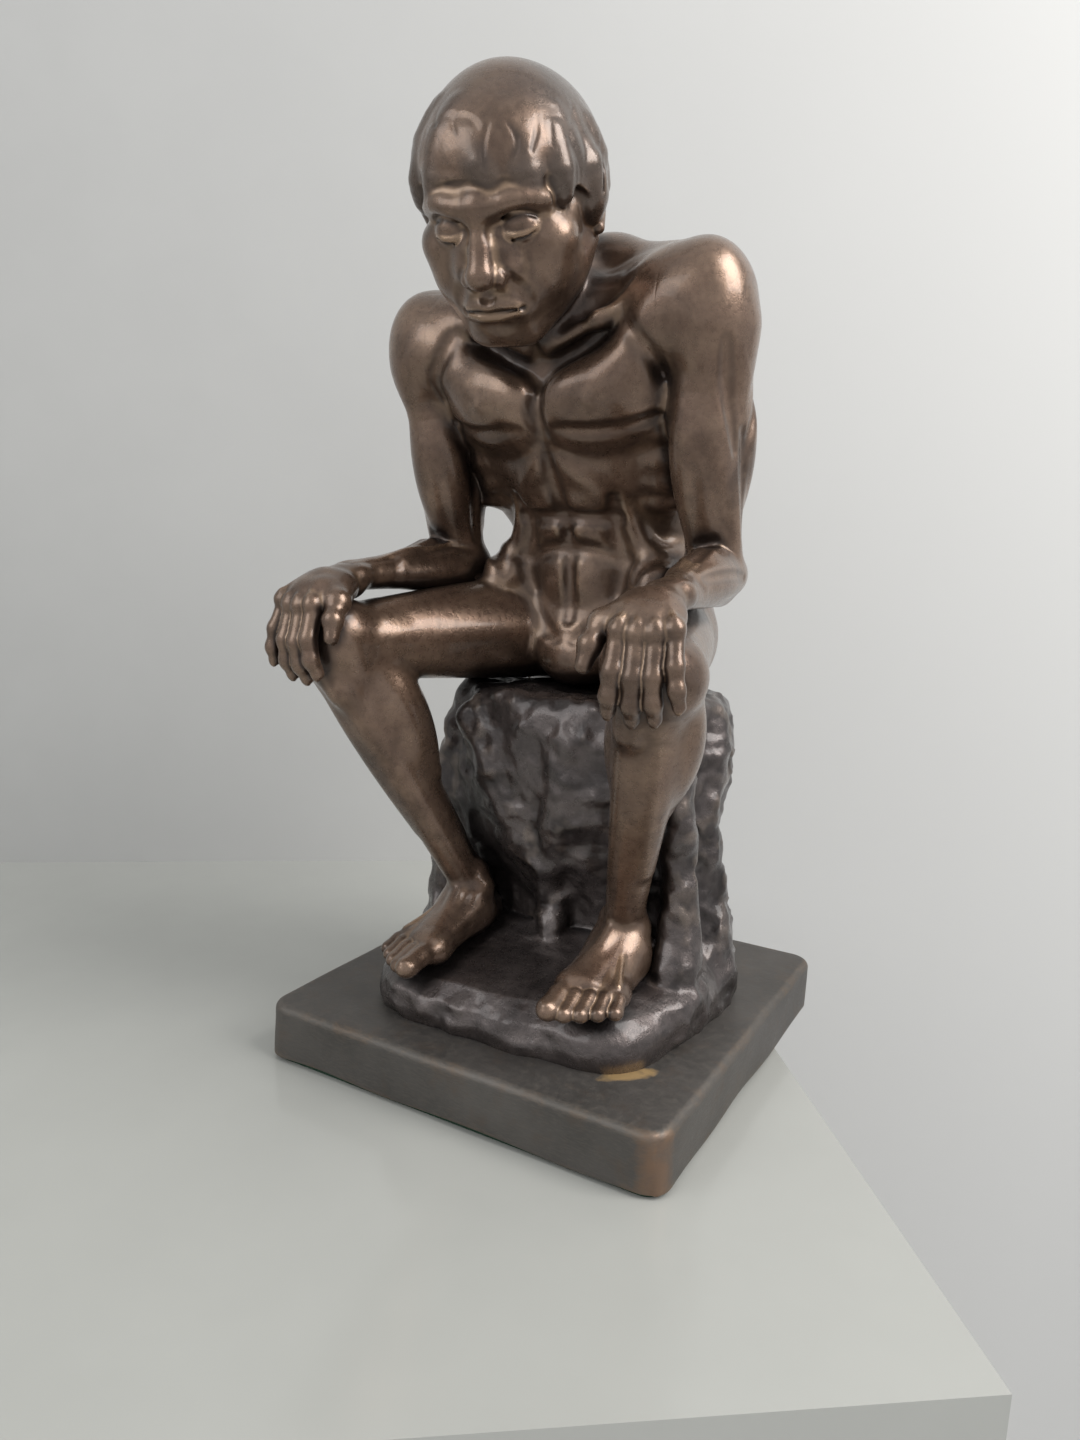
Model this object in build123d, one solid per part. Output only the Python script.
from build123d import *
import os
from math import cos, pi, radians, sin

# Bronze statuette of a seated figure on a rock and a square slab, in millimetres.
# +X is the figure's left, -Y its front, +Z up. The origin is the middle of the felt's underside.

# Slab and felt
base_side = 170.0
base_height = 22.0
base_wall = 5.0
base_corner_radius = 9.0
base_edge_radius = 3.0
base_foot_radius = 1.0
felt_thickness = 1.0
felt_margin = 2.5

# Rock
rock_height = 122.0
rock_half_width = 67.5
rock_half_depth = 66.5
rock_wall = 6.0
rock_roof = 12.0
rock_facets = 17
rock_squareness = 2.6
rock_roughness = 1.4
ledge_height = 20.0

# Fasteners between slab and rock, and between rock and figure
screw_radius = 2.5
screw_hole_clearance = 0.3
screw_head_radius = 4.4
screw_head_height = 3.2
screw_bite = 14.0
screw_spacing = 80.0
washer_side = 12.0
washer_thickness = 1.2
boss_radius = 8.0
seat_screw_spacing = 30.0
seat_screw_setback = 28.0

# Figure: places of the joints
hip_height = 24.0
hip_half_spread = 24.0
hip_setback = 30.0
knee_height = 20.0
knee_half_spread = 65.0
knee_reach = 97.0
ankle_height = 20.0
ankle_spreads = {-1: 31.0, 1: 39.0}
ankle_front = 22.0
torso_rise = 155.0
torso_reach = 58.0
torso_tilt = 42.0
shoulder_half_spread = 56.0
shoulder_front = 19.0
shoulder_drop = 17.0
shoulder_lift = 4.0

# Figure: girths, as half widths
pelvis_half_width = 48.0
chest_half_width = 49.0
chest_half_depth = 33.0
thigh_radius = 22.5
knee_radius = 16.5
calf_radius = 14.6
ankle_radius = 8.5
arm_radius = 15.0
elbow_radius = 10.0
forearm_radius = 12.5
wrist_radius = 6.8
neck_radius = 15.0
rest_gap = 0.3

# Head, hands and feet
head_height = 74.0
head_half_width = 29.5
head_half_depth = 35.5
head_pitch = 33.0
head_yaw = 12.0
head_shift_x = -3.0
head_front = 50.0
head_rise = 14.5
hair_thickness = 3.2
palm_half_width = 11.5
palm_half_thickness = 4.8
finger_radius = 3.1
foot_length = 66.0
foot_half_width = 13.0
foot_rise = 23.0
toe_radius = 3.6

# Sleeve joints between the castings
spigot_radius = 6.0
spigot_length = 12.0
spigot_clearance = 0.15
pin_radius = 1.5
pin_reach = 9.0
dowel_radius = 2.5
dowel_length = 16.0
neck_pin_lean = 0.4
arm_cut_rise = 40.0

overrun = 400.0

# Heights that follow from the sizes above
slab_bottom = felt_thickness
slab_top = slab_bottom + base_height
ledge_z = slab_top + ledge_height
seat_z = slab_top + rock_height

x_axis = Vector(1, 0, 0)
y_axis = Vector(0, 1, 0)
z_axis = Vector(0, 0, 1)
hands = {"right": -1, "left": 1}


# Small helpers
rod_sides = 8
ball_sides = 9
torso_sides = 20
mass_sides = 8
fold_sides = 6
head_sides = 18
feature_sides = 8
limb_sides = 13
small_sides = 11
digit_sides = 7


def between(a, b, share):
    return a + (b - a) * share


def unit(x, y, z):
    return Vector(x, y, z).normalized()


def ring(centre, along, side, half_side, half_depth, sides):
    """Corners of a many-sided ellipse square to along, with half_side measured along side."""
    frame = Plane(origin=centre, x_dir=side, z_dir=along)
    turns = [2 * pi * (index + 0.5) / sides for index in range(sides)]
    return [frame.from_local_coords(Vector(half_side * cos(turn), half_depth * sin(turn))) for turn in turns]


def facet(*corners):
    return Face(Wire.make_polygon(corners, close=True))


def skin(rings):
    """A solid of flat triangles between rings of corners, closed by a flat face at either end."""
    facets = [facet(*rings[0]), facet(*rings[-1])]
    for lower, upper in zip(rings, rings[1:]):
        for index in range(len(lower)):
            facets.append(facet(lower[index - 1], lower[index], upper[index]))
            facets.append(facet(lower[index - 1], upper[index], upper[index - 1]))
    return Solid(Shell(facets))


def smoothed(rows):
    """The rows with one more between each two, on a cubic curve through them all."""
    dense = []
    for index in range(len(rows) - 1):
        before, start, end, after = (rows[min(max(index + step, 0), len(rows) - 1)] for step in (-1, 0, 1, 2))
        dense.append(start)
        dense.append(tuple((9 * (b + c) - a - d) / 16 for a, b, c, d in zip(before, start, end, after)))
    return dense + [rows[-1]]


def tube(stations, side, sides=limb_sides):
    """A skin through rings: each station is centre, direction, half side, half depth."""
    return skin([ring(centre, along, side, half_side, half_depth, sides)
                 for centre, along, half_side, half_depth in stations])


egg_levels = 6
egg_tip_share = 0.35


def egg(centre, radii, along=z_axis, side=x_axis, sides=ball_sides):
    """An ellipsoid of flat facets, whose third radius runs along the given direction."""
    stations = []
    for level in range(egg_levels):
        turn = pi * (level + egg_tip_share) / (egg_levels - 1 + 2 * egg_tip_share)
        stations.append((centre - along * (radii[2] * cos(turn)), along,
                         radii[0] * sin(turn), radii[1] * sin(turn)))
    return tube(stations, side, sides)


def rod(start, end, radius):
    """A round rod or bore with a few flat sides."""
    along = end - start
    section = Plane(origin=start, z_dir=along.normalized()) * RegularPolygon(radius, rod_sides)
    return extrude(section, along.length, dir=along.normalized())


def half_space(origin, normal):
    """A large block that fills the side of the plane that normal points to."""
    return Plane(origin=origin, z_dir=normal) * Box(
        overrun, overrun, overrun, align=(Align.CENTER, Align.CENTER, Align.MIN))


def digit(points, radii, side, sides=digit_sides):
    """A finger or toe: a ruled skin through small many-sided rings, closed by a blunt tip."""
    rings = []
    for index, point in enumerate(points):
        before = points[max(index - 1, 0)]
        after = points[min(index + 1, len(points) - 1)]
        radius = radii[index]
        rings.append(ring(point, (after - before).normalized(), side, radius, radius, sides))
    return skin(rings)


# Joint places, for the right side (-1) and the left side (+1)
def hip_at(hand):
    return Vector(hip_half_spread * hand, hip_setback, seat_z + hip_height)


def knee_at(hand):
    return Vector(knee_half_spread * hand, hip_setback - knee_reach, seat_z + knee_height)


def ankle_at(hand):
    return Vector(ankle_spreads[hand] * hand, -ankle_front, ledge_z + ankle_height)


def shoulder_at(hand):
    lift = shoulder_lift * hand - shoulder_drop
    return Vector(shoulder_half_spread * hand, -shoulder_front, seat_z + torso_rise + lift)


elbow_share = 0.27
elbow_lean_shares = (0.62, 0.78)


def elbow_at(hand):
    on_thigh = between(hip_at(hand), knee_at(hand), elbow_share)
    across, up = elbow_lean_shares
    return on_thigh + unit(across * hand, 0, up) * (thigh_radius + elbow_radius)


def wrist_at(hand):
    return knee_at(hand) + Vector(0, wrist_radius, knee_radius + wrist_radius + rest_gap)


# Torso: share of rise, share of reach, half width, half depth, share of tilt
torso_shares = [
    (0.00, 0.00, 0.72, 0.64, 0.00),
    (0.07, 0.02, 0.95, 0.94, 0.00),
    (0.19, 0.05, 0.99, 1.01, 0.05),
    (0.36, 0.12, 0.82, 0.83, 0.20),
    (0.52, 0.24, 0.87, 0.87, 0.42),
    (0.68, 0.46, 0.96, 1.00, 0.70),
    (0.80, 0.67, 0.98, 0.96, 0.90),
    (0.91, 0.87, 0.80, 0.72, 1.00),
    (1.00, 1.00, 0.33, 0.50, 1.00),
]
chest_row = 6
waist_row = 3
# Muscle masses: shares across, back and up, then half width, half depth and half height
hip_mass_shares = [(0.50, 0.34, 0.00, 0.51, 0.76, 0.155), (0.61, -0.26, 0.02, 0.43, 0.62, 0.160)]
chest_mass_shares = [
    (0.42, -0.60, -0.04, 0.42, 0.47, 0.120),
    (0.53, 0.36, -0.06, 0.53, 0.60, 0.190),
    (0.62, 0.05, -0.20, 0.47, 0.60, 0.170),
    (0.16, 0.68, 0.06, 0.54, 0.62, 0.145),
]
# Shoulder masses: share of the way, lift in arm girths, then half width, half depth and half height
shoulder_mass_shares = (0.52, 0.30, 0.62, 0.66, 0.145)
neck_mass_shares = (0.30, 0.40, 1.9, 1.2, 1.1)
neck_mass_lean = 0.42


def torso_station(row):
    up, reach, half_width, half_depth, tilt = row
    centre = Vector(0, hip_setback - torso_reach * reach, seat_z + torso_rise * up)
    lean = radians(torso_tilt * tilt)
    width = pelvis_half_width if up < torso_shares[waist_row][0] else chest_half_width
    return centre, Vector(0, -sin(lean), cos(lean)), width * half_width, chest_half_depth * half_depth


neck_foot, neck_along = torso_station(torso_shares[-1])[:2]


def mass(start, along, hand, row):
    across, back, up, half_width, half_depth, half_rise = row
    behind = x_axis.cross(along) * -1
    middle = start + x_axis * (chest_half_width * across * hand) + behind * (chest_half_depth * back)
    return egg(middle + along * (torso_rise * up),
               (chest_half_width * half_width, chest_half_depth * half_depth, torso_rise * half_rise),
               along, sides=mass_sides)


def torso_body():
    body = tube([torso_station(row) for row in smoothed(torso_shares)], x_axis, torso_sides)
    chest, chest_along = torso_station(torso_shares[chest_row])[:2]
    hips = Vector(0, hip_setback, seat_z + hip_height)
    for hand in hands.values():
        for row in hip_mass_shares:
            body += mass(hips, z_axis, hand, row)
        for row in chest_mass_shares:
            body += mass(chest, chest_along, hand, row)
        shoulder = shoulder_at(hand)
        way, lift, half_width, half_depth, half_rise = shoulder_mass_shares
        middle = between(chest, shoulder, way) + chest_along * (arm_radius * lift)
        body += egg(middle, (chest_half_width * half_width, chest_half_depth * half_depth,
                             torso_rise * half_rise), along=chest_along)
        way, drop, half_width, half_depth, half_rise = neck_mass_shares
        root = between(neck_foot, shoulder, way) - neck_along * (neck_radius * drop)
        body += egg(root, (neck_radius * half_width, neck_radius * half_depth, neck_radius * half_rise),
                    along=unit(neck_mass_lean * hand, 0, 1), side=unit(1, 0, -neck_mass_lean * hand))
    body = body & half_space(Vector(0, 0, seat_z), z_axis)
    return body - half_space(neck_foot, neck_along)


# Head: share of height from the middle, share forward, half width, half depth
head_shares = [
    (-0.49, 0.46, 0.30, 0.26),
    (-0.42, 0.38, 0.52, 0.48),
    (-0.27, 0.17, 0.74, 0.76),
    (-0.08, 0.05, 0.90, 0.93),
    (0.10, 0.00, 0.97, 1.00),
    (0.25, -0.03, 0.97, 0.98),
    (0.38, -0.04, 0.82, 0.82),
    (0.46, -0.04, 0.58, 0.58),
    (0.50, -0.04, 0.24, 0.24),
]
# Features: share up, forward and across, then half width, half depth and half height
face_shares = [
    (-0.05, 0.98, 0.00, 0.14, 0.17, 0.13),
    (-0.12, 1.05, 0.00, 0.19, 0.11, 0.05),
    (0.10, 0.86, 0.00, 0.62, 0.15, 0.045),
    (-0.24, 0.86, 0.00, 0.30, 0.12, 0.028),
    (-0.29, 0.84, 0.00, 0.27, 0.12, 0.030),
    (-0.42, 0.70, 0.00, 0.30, 0.24, 0.080),
    (-0.11, 0.60, 0.50, 0.30, 0.23, 0.090),
    (-0.11, 0.60, -0.50, 0.30, 0.23, 0.090),
    (0.01, 0.76, 0.38, 0.20, 0.11, 0.042),
    (0.01, 0.76, -0.38, 0.20, 0.11, 0.042),
    (-0.05, -0.04, 0.97, 0.10, 0.17, 0.120),
    (-0.05, -0.04, -0.97, 0.10, 0.17, 0.120),
]
socket_shares = [(0.02, 0.97, 0.38, 0.25, 0.13, 0.055), (0.02, 0.97, -0.38, 0.25, 0.13, 0.055)]
hairline_shares = (0.14, 0.62)
hairline_lean_shares = (0.8, 0.6)
# Locks of the fringe: their number, size, sweep round the head and fall towards the ears
lock_count = 9
lock_shares = (0.17, 0.13, 0.11)
lock_sweep_share = 1.1
lock_fall_share = 0.17
lock_stagger_share = 0.02
lock_ring_shares = (0.93, 0.97)
nape_shares = (0.0, -0.2)
# Neck: share of the way from foot to nape, half width and half depth
neck_row_shares = [(0.45, 1.0, 1.0), (1.0, 1.05, 1.1)]

pitch = radians(head_pitch)
yaw = radians(head_yaw)
face_way = Vector(sin(yaw) * cos(pitch), -cos(yaw) * cos(pitch), -sin(pitch))
crown_way = Vector(sin(yaw) * sin(pitch), -cos(yaw) * sin(pitch), cos(pitch))
head_side = Vector(cos(yaw), sin(yaw), 0)
head_centre = Vector(head_shift_x, -head_front, seat_z + torso_rise + head_rise)


def on_head(up, forward, across=0):
    return (head_centre + crown_way * (head_height * up) + face_way * (head_half_depth * forward)
            + head_side * (head_half_width * across))


def skull(extra):
    stations = []
    for up, forward, half_width, half_depth in smoothed(head_shares):
        stations.append((on_head(up * (1 + extra / head_height), forward), crown_way,
                         head_half_width * half_width + extra, head_half_depth * half_depth + extra))
    return tube(stations, head_side, head_sides)


def feature(row):
    up, forward, across, half_width, half_depth, half_rise = row
    return egg(on_head(up, forward, across),
               (head_half_width * half_width, head_half_depth * half_depth, head_height * half_rise),
               along=crown_way, side=head_side, sides=feature_sides)


def head_body():
    body = skull(0)
    for row in socket_shares:
        body -= feature(row)
    for row in face_shares:
        body += feature(row)
    brow = on_head(*hairline_shares)
    rise, front = hairline_lean_shares
    body += skull(hair_thickness) & half_space(brow, (crown_way * rise - face_way * front).normalized())
    half_width, half_depth, half_rise = lock_shares
    ahead, aside = lock_ring_shares
    for index in range(lock_count):
        turn = pi * (index / (lock_count - 1) - 0.5) * lock_sweep_share
        up = hairline_shares[0] - lock_stagger_share * (index % 2) - lock_fall_share * (1 - cos(turn))
        lock = on_head(up, ahead * cos(turn), aside * sin(turn))
        sideways = head_side * cos(turn) - face_way * sin(turn)
        body += egg(lock, (head_half_width * half_width, hair_thickness, head_height * half_rise),
                    along=crown_way, side=sideways, sides=feature_sides)
    nape = on_head(*nape_shares)
    along = (nape - neck_foot).normalized()
    stations = [(neck_foot, neck_along, chest_half_width * torso_shares[-1][2],
                 chest_half_depth * torso_shares[-1][3])]
    for share, half_width, half_depth in neck_row_shares:
        stations.append((between(neck_foot, nape, share), along,
                         neck_radius * half_width, neck_radius * half_depth))
    body += tube(stations, x_axis)
    return body & half_space(neck_foot, neck_along)


# Limbs: share of the bone, girth across, girth in depth
upper_arm_shares = [(0, 1, 1.08), (0.2, 1, 1.12), (0.45, 0.95, 1.1), (0.7, 0.86, 0.98), (1, 0.72, 0.76)]
forearm_shares = [(0, 0.8, 0.82), (0.16, 1, 1), (0.38, 0.98, 0.94), (0.7, 0.74, 0.68), (1, 0.64, 0.5)]
thigh_shares = [(-0.1, 0.86, 0.86), (0.12, 1.06, 1.04), (0.38, 1, 1), (0.66, 0.88, 0.88),
                (0.88, 0.76, 0.76), (1, 0.68, 0.7)]
shank_shares = [(0, 0.92, 0.96), (0.14, 0.96, 1.02), (0.34, 1.02, 1.12), (0.55, 0.80, 0.84),
                (0.8, 0.58, 0.64), (1, 0.56, 0.66)]


# Joint masses: drop, then half width, half depth and half height in girths
shoulder_ball_shares = (0.2, 1.3, 1.35, 1.6)
elbow_ball_shares = (0.0, 1.0, 1.08, 1.0)
knee_ball_shares = (0.0, 0.94, 1.0, 1.0)
ankle_ball_shares = (0.0, 1.12, 1.0, 1.0)
shoulder_cut_share = 0.66
calf_swell_share = 0.22


def joint_ball(place, girth, shares):
    drop, half_width, half_depth, half_rise = shares
    return egg(place - z_axis * (girth * drop), (girth * half_width, girth * half_depth, girth * half_rise))


def bone(start, end, shares, girth, swell=Vector(0, 0, 0)):
    along = (end - start).normalized()
    stations = []
    for share, across, depth in smoothed(shares):
        centre = between(start, end, share) + swell * sin(pi * share)
        stations.append((centre, along, girth * across, girth * depth))
    return tube(stations, x_axis)


# Hand: the palm and fingers follow an arc round the kneecap. Angles are from the knee's top.
palm_rows = [(-16, 0.58, 1.2), (6, 0.68, 1.12), (24, 0.82, 1.05), (42, 0.98, 1.0), (62, 1.0, 0.8)]
finger_angles = (46.0, 62.0, 92.0, 114.0, 130.0, 135.0)
finger_girth_shares = (1.0, 1.12, 1.0, 0.92, 0.8, 0.42)
finger_length_shares = (0.88, 1.0, 0.96, 0.80)
thumb_shares = [(14.0, 0.6, 0.0, 1.3), (38.0, 1.22, -0.2, 1.2), (66.0, 1.42, -0.4, 1.0), (74.0, 1.46, -0.45, 0.5)]
hand_turns = {-1: 6.0, 1: -14.0}


def hand_body(hand):
    turn = radians(hand_turns[hand])
    forward = Vector(-sin(turn), -cos(turn), 0)
    side = Vector(cos(turn), -sin(turn), 0)
    reach = knee_radius + palm_half_thickness + rest_gap

    def on_arc(angle, across=0.0, out=0.0):
        bend = radians(angle)
        spoke = forward * sin(bend) + z_axis * cos(bend)
        return knee_at(hand) + spoke * (reach + out) + side * across

    stations = []
    for angle, half_width, half_thickness in palm_rows:
        bend = radians(angle)
        stations.append((on_arc(angle), forward * cos(bend) - z_axis * sin(bend),
                         palm_half_width * half_width, palm_half_thickness * half_thickness))
    body = tube(stations, side, small_sides)
    girths = [finger_radius * share for share in finger_girth_shares]
    spacing = palm_half_width * 2 / len(finger_length_shares)
    for index, length in enumerate(finger_length_shares):
        across = (index - (len(finger_length_shares) - 1) / 2) * spacing
        stretched = [finger_angles[0] + (angle - finger_angles[0]) * length for angle in finger_angles]
        body += digit([on_arc(angle, across) for angle in stretched], girths, side)
    thumb = [on_arc(angle, -hand * palm_half_width * across, palm_half_thickness * out)
             for angle, across, out, girth in thumb_shares]
    body += digit(thumb, [finger_radius * row[3] for row in thumb_shares], forward)
    return body


def shoulder_plane(hand):
    """Point and outward normal of the joint face between torso and arm."""
    return shoulder_at(hand) - x_axis * (arm_radius * shoulder_cut_share * hand), x_axis * hand


def arm_body(hand):
    shoulder, elbow, wrist = shoulder_at(hand), elbow_at(hand), wrist_at(hand)
    body = bone(shoulder, elbow, upper_arm_shares, arm_radius)
    body += joint_ball(shoulder, arm_radius, shoulder_ball_shares)
    body += bone(elbow, wrist, forearm_shares, forearm_radius)
    body += joint_ball(elbow, elbow_radius, elbow_ball_shares)
    body += hand_body(hand)
    return body & half_space(*shoulder_plane(hand))


# Foot: share of length ahead of the ankle, half width, half height
foot_shares = [(-0.25, 0.52, 0.30), (-0.18, 0.72, 0.48), (0, 0.76, 0.62), (0.2, 0.86, 0.5),
               (0.4, 1, 0.32), (0.5, 0.98, 0.22)]
toe_length_shares = (1.0, 0.94, 0.84, 0.72, 0.60)
toe_girth_shares = (1.15, 0.88, 0.85, 0.82, 0.78)
foot_turn = 0.08
instep_share = 0.8
toe_spread_share = 0.43
toe_start_share = 0.42
toe_reach_share = 0.24
# Toe: share of its reach, lift and girth in its own girths
toe_row_shares = [(0.0, 0.0, 1.0), (0.5, 0.25, 0.92), (0.85, 0.0, 0.95), (1.0, 0.0, 0.5)]


def foot_body(hand):
    ankle = ankle_at(hand)
    ground = Vector(ankle.X, ankle.Y, ledge_z)
    forward = unit(foot_turn * hand, -1, 0)
    side = unit(1, foot_turn * hand, 0)
    stations = []
    for share, half_width, half_height in foot_shares:
        centre = ground + forward * (foot_length * share) + z_axis * (foot_rise * half_height * instep_share)
        stations.append((centre, forward, foot_half_width * half_width, foot_rise * half_height))
    body = tube(stations, side, small_sides)
    for index, length in enumerate(toe_length_shares):
        across = (index - len(toe_length_shares) // 2) * foot_half_width * toe_spread_share * hand
        radius = toe_radius * toe_girth_shares[index]
        start = ground + forward * (foot_length * toe_start_share) + side * across + z_axis * radius
        reach = forward * (foot_length * toe_reach_share * length)
        points = [start + reach * ahead + z_axis * (radius * lift) for ahead, lift, girth in toe_row_shares]
        body += digit(points, [radius * row[-1] for row in toe_row_shares], side)
    return body & half_space(ground, z_axis)


hip_plane_share = 0.20


def hip_plane(hand):
    """Point and outward normal of the joint face between torso and leg."""
    hip, knee = hip_at(hand), knee_at(hand)
    return between(hip, knee, hip_plane_share), (knee - hip).normalized()


def leg_body(hand):
    hip, knee, ankle = hip_at(hand), knee_at(hand), ankle_at(hand)
    body = bone(hip, knee, thigh_shares, thigh_radius) & half_space(*hip_plane(hand))
    body += joint_ball(knee, knee_radius, knee_ball_shares)
    body += bone(knee, ankle, shank_shares, calf_radius, y_axis * (calf_radius * calf_swell_share))
    body += joint_ball(ankle, ankle_radius, ankle_ball_shares)
    return body + foot_body(hand)


# Rock: height above the slab and middle across and back, then half width and half depth, all as shares
rock_row_shares = [
    (0.00, 0.03, -0.01, 0.97, 0.97),
    (0.04, 0.03, -0.01, 1.00, 1.00),
    (0.09, 0.03, 0.00, 1.00, 0.98),
    (0.14, 0.03, 0.06, 0.97, 0.91),
    (0.175, 0.03, 0.25, 0.94, 0.70),
    (0.23, 0.03, 0.38, 0.92, 0.55),
    (0.34, 0.02, 0.35, 0.89, 0.57),
    (0.50, 0.00, 0.29, 0.88, 0.62),
    (0.72, 0.03, 0.25, 0.85, 0.66),
    (0.90, 0.04, 0.23, 0.82, 0.66),
    (0.97, 0.05, 0.23, 0.77, 0.62),
    (1.00, 0.06, 0.23, 0.70, 0.54),
]
# Folds down the faces: shares across, back and up, and the half girth as a share
rock_fold_shares = [
    [(-0.74, -0.12, 0.94, 0.11), (-0.82, -0.12, 0.73, 0.13), (-0.85, -0.09, 0.53, 0.13), (-0.88, -0.06, 0.32, 0.14)],
    [(-0.90, 0.32, 0.91, 0.10), (-0.93, 0.29, 0.63, 0.11), (-0.94, 0.38, 0.35, 0.12), (-0.97, 0.32, 0.11, 0.13)],
    [(-0.52, -0.34, 0.92, 0.11), (-0.40, -0.34, 0.71, 0.12), (-0.18, -0.28, 0.50, 0.11), (0.02, -0.24, 0.30, 0.13)],
    [(0.81, -0.21, 0.93, 0.12), (0.86, -0.24, 0.71, 0.12), (0.87, -0.18, 0.48, 0.12), (0.92, -0.22, 0.26, 0.14)],
    [(0.23, -0.39, 0.88, 0.09), (0.17, -0.37, 0.66, 0.10), (0.06, -0.28, 0.46, 0.10)],
    [(0.87, 0.26, 0.91, 0.09), (0.89, 0.21, 0.63, 0.11), (0.88, 0.32, 0.35, 0.12), (0.96, 0.29, 0.11, 0.12)],
    [(0.49, 0.83, 0.93, 0.11), (0.52, 0.86, 0.66, 0.12), (0.43, 0.86, 0.40, 0.12), (0.54, 0.90, 0.12, 0.13)],
    [(-0.41, 0.83, 0.91, 0.10), (-0.38, 0.86, 0.60, 0.12), (-0.35, 0.84, 0.32, 0.12), (-0.43, 0.90, 0.11, 0.13)],
]
wave_shares = (3, 9, 1.0, 5, -14, 0.6)
inner_wall_share = 1.8
fold_sink_share = 0.7
shelf_level_shares = (0.35, 0.75)
shelf_row = 2
column_rows = slice(6, 10)


def rock_ring(row, inset=0.0, level=None):
    up, middle_across, middle_back, half_width, half_depth = row
    power = 2 / rock_squareness
    first_waves, first_phase, first_rise, second_waves, second_phase, second_rise = wave_shares
    points = []
    for index in range(rock_facets):
        angle = 2 * pi * index / rock_facets
        wave = first_rise * sin(first_waves * angle + up * first_phase)
        wave += second_rise * sin(second_waves * angle + up * second_phase)
        reach = rock_roughness * wave - inset
        across = abs(cos(angle)) ** power * (1 if cos(angle) > 0 else -1)
        deep = abs(sin(angle)) ** power * (1 if sin(angle) > 0 else -1)
        points.append(Vector(rock_half_width * middle_across + (rock_half_width * half_width + reach) * across,
                             rock_half_depth * middle_back + (rock_half_depth * half_depth + reach) * deep))
    height = rock_height * up if level is None else level
    return [point + z_axis * (slab_top + height) for point in points]


def rock_outer():
    rock = skin([rock_ring(row) for row in rock_row_shares])
    for fold in rock_fold_shares:
        points = []
        for across, back, up, girth in fold:
            outward = unit(across, back, 0)
            spot = Vector(rock_half_width * across, rock_half_depth * back, slab_top + rock_height * up)
            points.append(spot - outward * (rock_half_width * girth * fold_sink_share))
        rock += digit(points, [rock_half_width * row[-1] for row in fold], y_axis, fold_sides)
    return rock


def rock_core():
    """The hollow: a wide foot under the ledge and the column's rings shrunk by the wall."""
    low, high = (ledge_height * share for share in shelf_level_shares)
    inner = rock_wall * inner_wall_share
    column = rock_row_shares[column_rows]
    rings = [rock_ring(rock_row_shares[0], rock_wall, 0.0), rock_ring(rock_row_shares[shelf_row], inner, low),
             rock_ring(column[0], inner, high)]
    for row in column[:-1]:
        rings.append(rock_ring(row, inner))
    rings.append(rock_ring(column[-1], inner, rock_height - rock_roof))
    return skin(rings)


# Slab: a casting open below, with a boss round each screw
edge_share = 0.6


def rounded_block(inset, height, level, corner):
    outline = RectangleRounded(base_side - 2 * inset, base_side - 2 * inset, corner)
    return extrude(Plane.XY.offset(level) * outline, height)


def screw_places():
    return [Vector(x, y, 0) for x in (-screw_spacing / 2, screw_spacing / 2)
            for y in (-screw_spacing / 2, screw_spacing / 2)]


plate_under = slab_top - base_wall
screw_neck = plate_under - washer_thickness


def slab_body():
    slab = rounded_block(0, base_height, slab_bottom, base_corner_radius)
    slab = chamfer(slab.faces().sort_by(Axis.Z)[-1].edges(), base_edge_radius * edge_share)
    slab = chamfer(slab.faces().sort_by(Axis.Z)[0].edges(), base_foot_radius * edge_share)
    slab -= rounded_block(base_wall, base_height - base_wall, slab_bottom, base_corner_radius - base_wall)
    for spot in screw_places():
        bore = screw_radius + screw_hole_clearance
        slab -= rod(spot + z_axis * plate_under, spot + z_axis * slab_top, bore)
    return slab


def screw(foot, shank_end):
    """A hexagon-head screw that points up, with its head's top face at the foot point."""
    outline = Plane.XY.offset(foot.Z - screw_head_height) * Pos(foot.X, foot.Y) * RegularPolygon(screw_head_radius, 6)
    return extrude(outline, screw_head_height) + rod(foot, shank_end, screw_radius)


def washer(top):
    """A square plate washer."""
    outline = Plane.XY.offset(top.Z - washer_thickness) * Pos(top.X, top.Y) * Rectangle(washer_side, washer_side)
    return extrude(outline, washer_thickness) - rod(top - z_axis * washer_thickness, top,
                                                    screw_radius + screw_hole_clearance)


# Seat screws rise from inside the rock's hollow into the torso
seat_screw_places = [Vector(side * seat_screw_spacing / 2, seat_screw_setback, 0) for side in (-1, 1)]
roof_under = slab_top + rock_height - rock_roof
roof_neck = roof_under - washer_thickness


def rock_body():
    rock = rock_outer()
    core = rock_core()
    for spot in screw_places():
        core -= rod(spot + z_axis * slab_top, spot + z_axis * (slab_top + screw_bite + boss_radius), boss_radius)
    rock -= core
    for spot in screw_places():
        rock -= rod(spot + z_axis * slab_top, spot + z_axis * (slab_top + screw_bite), screw_radius)
    for spot in seat_screw_places:
        rock -= rod(spot + z_axis * roof_under, spot + z_axis * seat_z, screw_radius + screw_hole_clearance)
    return rock


# Sleeve joints: a spigot on the limb, its bore in the torso and a pin filed flush with the skin
def spigot(plane_point, outward):
    return rod(plane_point - outward * spigot_length, plane_point + outward * spigot_radius, spigot_radius)


def spigot_bore(plane_point, outward):
    return rod(plane_point - outward * (spigot_length + rest_gap), plane_point,
               spigot_radius + spigot_clearance)


def cross_pin(plane_point, outward, way, skin):
    middle = plane_point - outward * (spigot_length / 2)
    return rod(middle - way * pin_reach, middle + way * overrun, pin_radius) & skin


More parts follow.
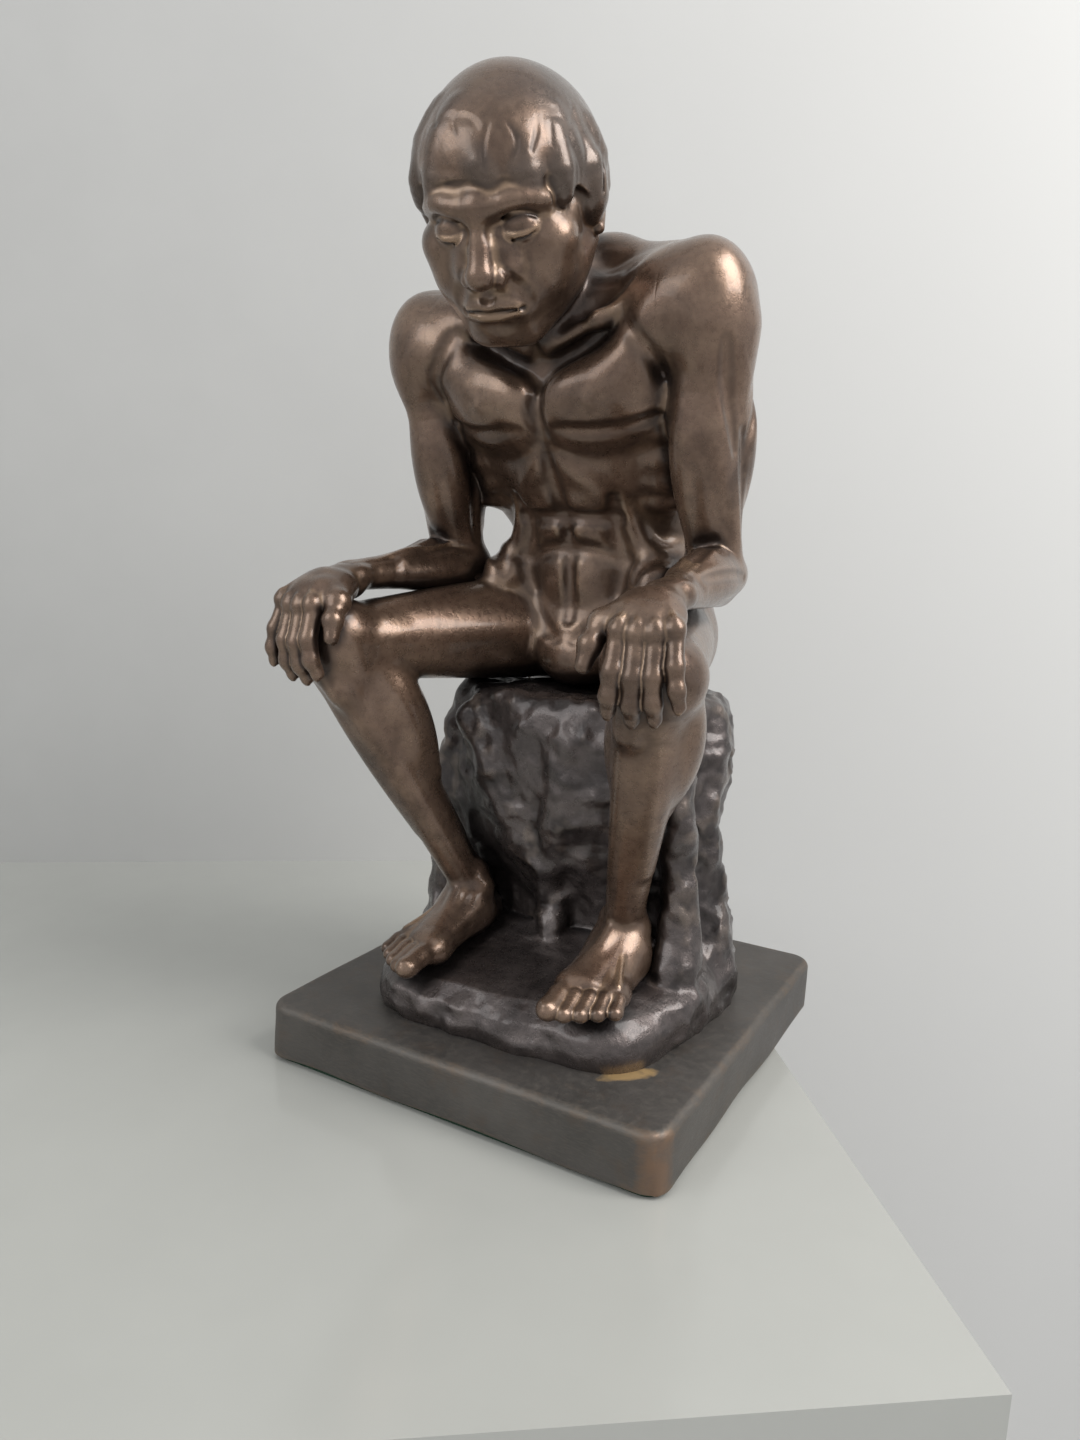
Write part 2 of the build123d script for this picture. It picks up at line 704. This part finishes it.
os.makedirs("parts", exist_ok=True)
arms = {name: arm_body(hand) for name, hand in hands.items()}
legs = {name: leg_body(hand) for name, hand in hands.items()}
torso = torso_body()
head = head_body()
rock = rock_body()
pieces = {}

for name, hand in hands.items():
    legs[name] -= arms[name]
    torso -= half_space(*shoulder_plane(hand)) & half_space(Vector(0, 0, elbow_at(hand).Z + arm_cut_rise), z_axis)
    torso -= arms[name]
    torso -= legs[name]
    rock -= legs[name]

for name, hand in hands.items():
    for limbs, joint, way, pin_name in (
            (arms, shoulder_plane(hand), y_axis, "shoulder_pin"),
            (legs, hip_plane(hand), z_axis * -1, "hip_pin")):
        skin = torso
        pin = cross_pin(*joint, way, skin)
        limbs[name] += spigot(*joint)
        limbs[name] -= pin
        torso = torso - spigot_bore(*joint) - pin
        pieces[name + "_" + pin_name] = pin
    ankle = ankle_at(hand)
    sole = Vector(ankle.X, ankle.Y, ledge_z)
    dowel = rod(sole - z_axis * dowel_length / 2, sole + z_axis * dowel_length / 2, dowel_radius)
    legs[name] -= dowel
    rock -= dowel
    pieces[name + "_foot_dowel"] = dowel

pin = cross_pin(neck_foot, neck_along, unit(0, 1, neck_pin_lean), torso)
head += spigot(neck_foot, neck_along)
head -= pin
torso = torso - spigot_bore(neck_foot, neck_along) - pin
pieces["neck_pin"] = pin

for index, spot in enumerate(seat_screw_places):
    torso -= rod(spot + z_axis * seat_z, spot + z_axis * (seat_z + screw_bite), screw_radius)

pieces["base_plate"] = slab_body()
pieces["base_felt"] = rounded_block(felt_margin, felt_thickness, 0, base_corner_radius - felt_margin)
pieces["rock"] = rock
pieces["torso"] = torso
pieces["head"] = head
for name in hands:
    pieces[name + "_arm"] = arms[name]
    pieces[name + "_leg"] = legs[name]
pieces["base_screws"] = Compound([screw(spot + z_axis * screw_neck, spot + z_axis * (slab_top + screw_bite))
                                  for spot in screw_places()])
pieces["base_washers"] = Compound([washer(spot + z_axis * plate_under) for spot in screw_places()])
pieces["seat_screws"] = Compound([screw(spot + z_axis * roof_neck, spot + z_axis * (seat_z + screw_bite))
                                  for spot in seat_screw_places])
pieces["seat_washers"] = Compound([washer(spot + z_axis * roof_under) for spot in seat_screw_places])

for name, piece in pieces.items():
    print(name, len(piece.solids()), round(piece.volume, 1), piece.is_valid)
    export_step(piece, "parts/" + name + ".step")
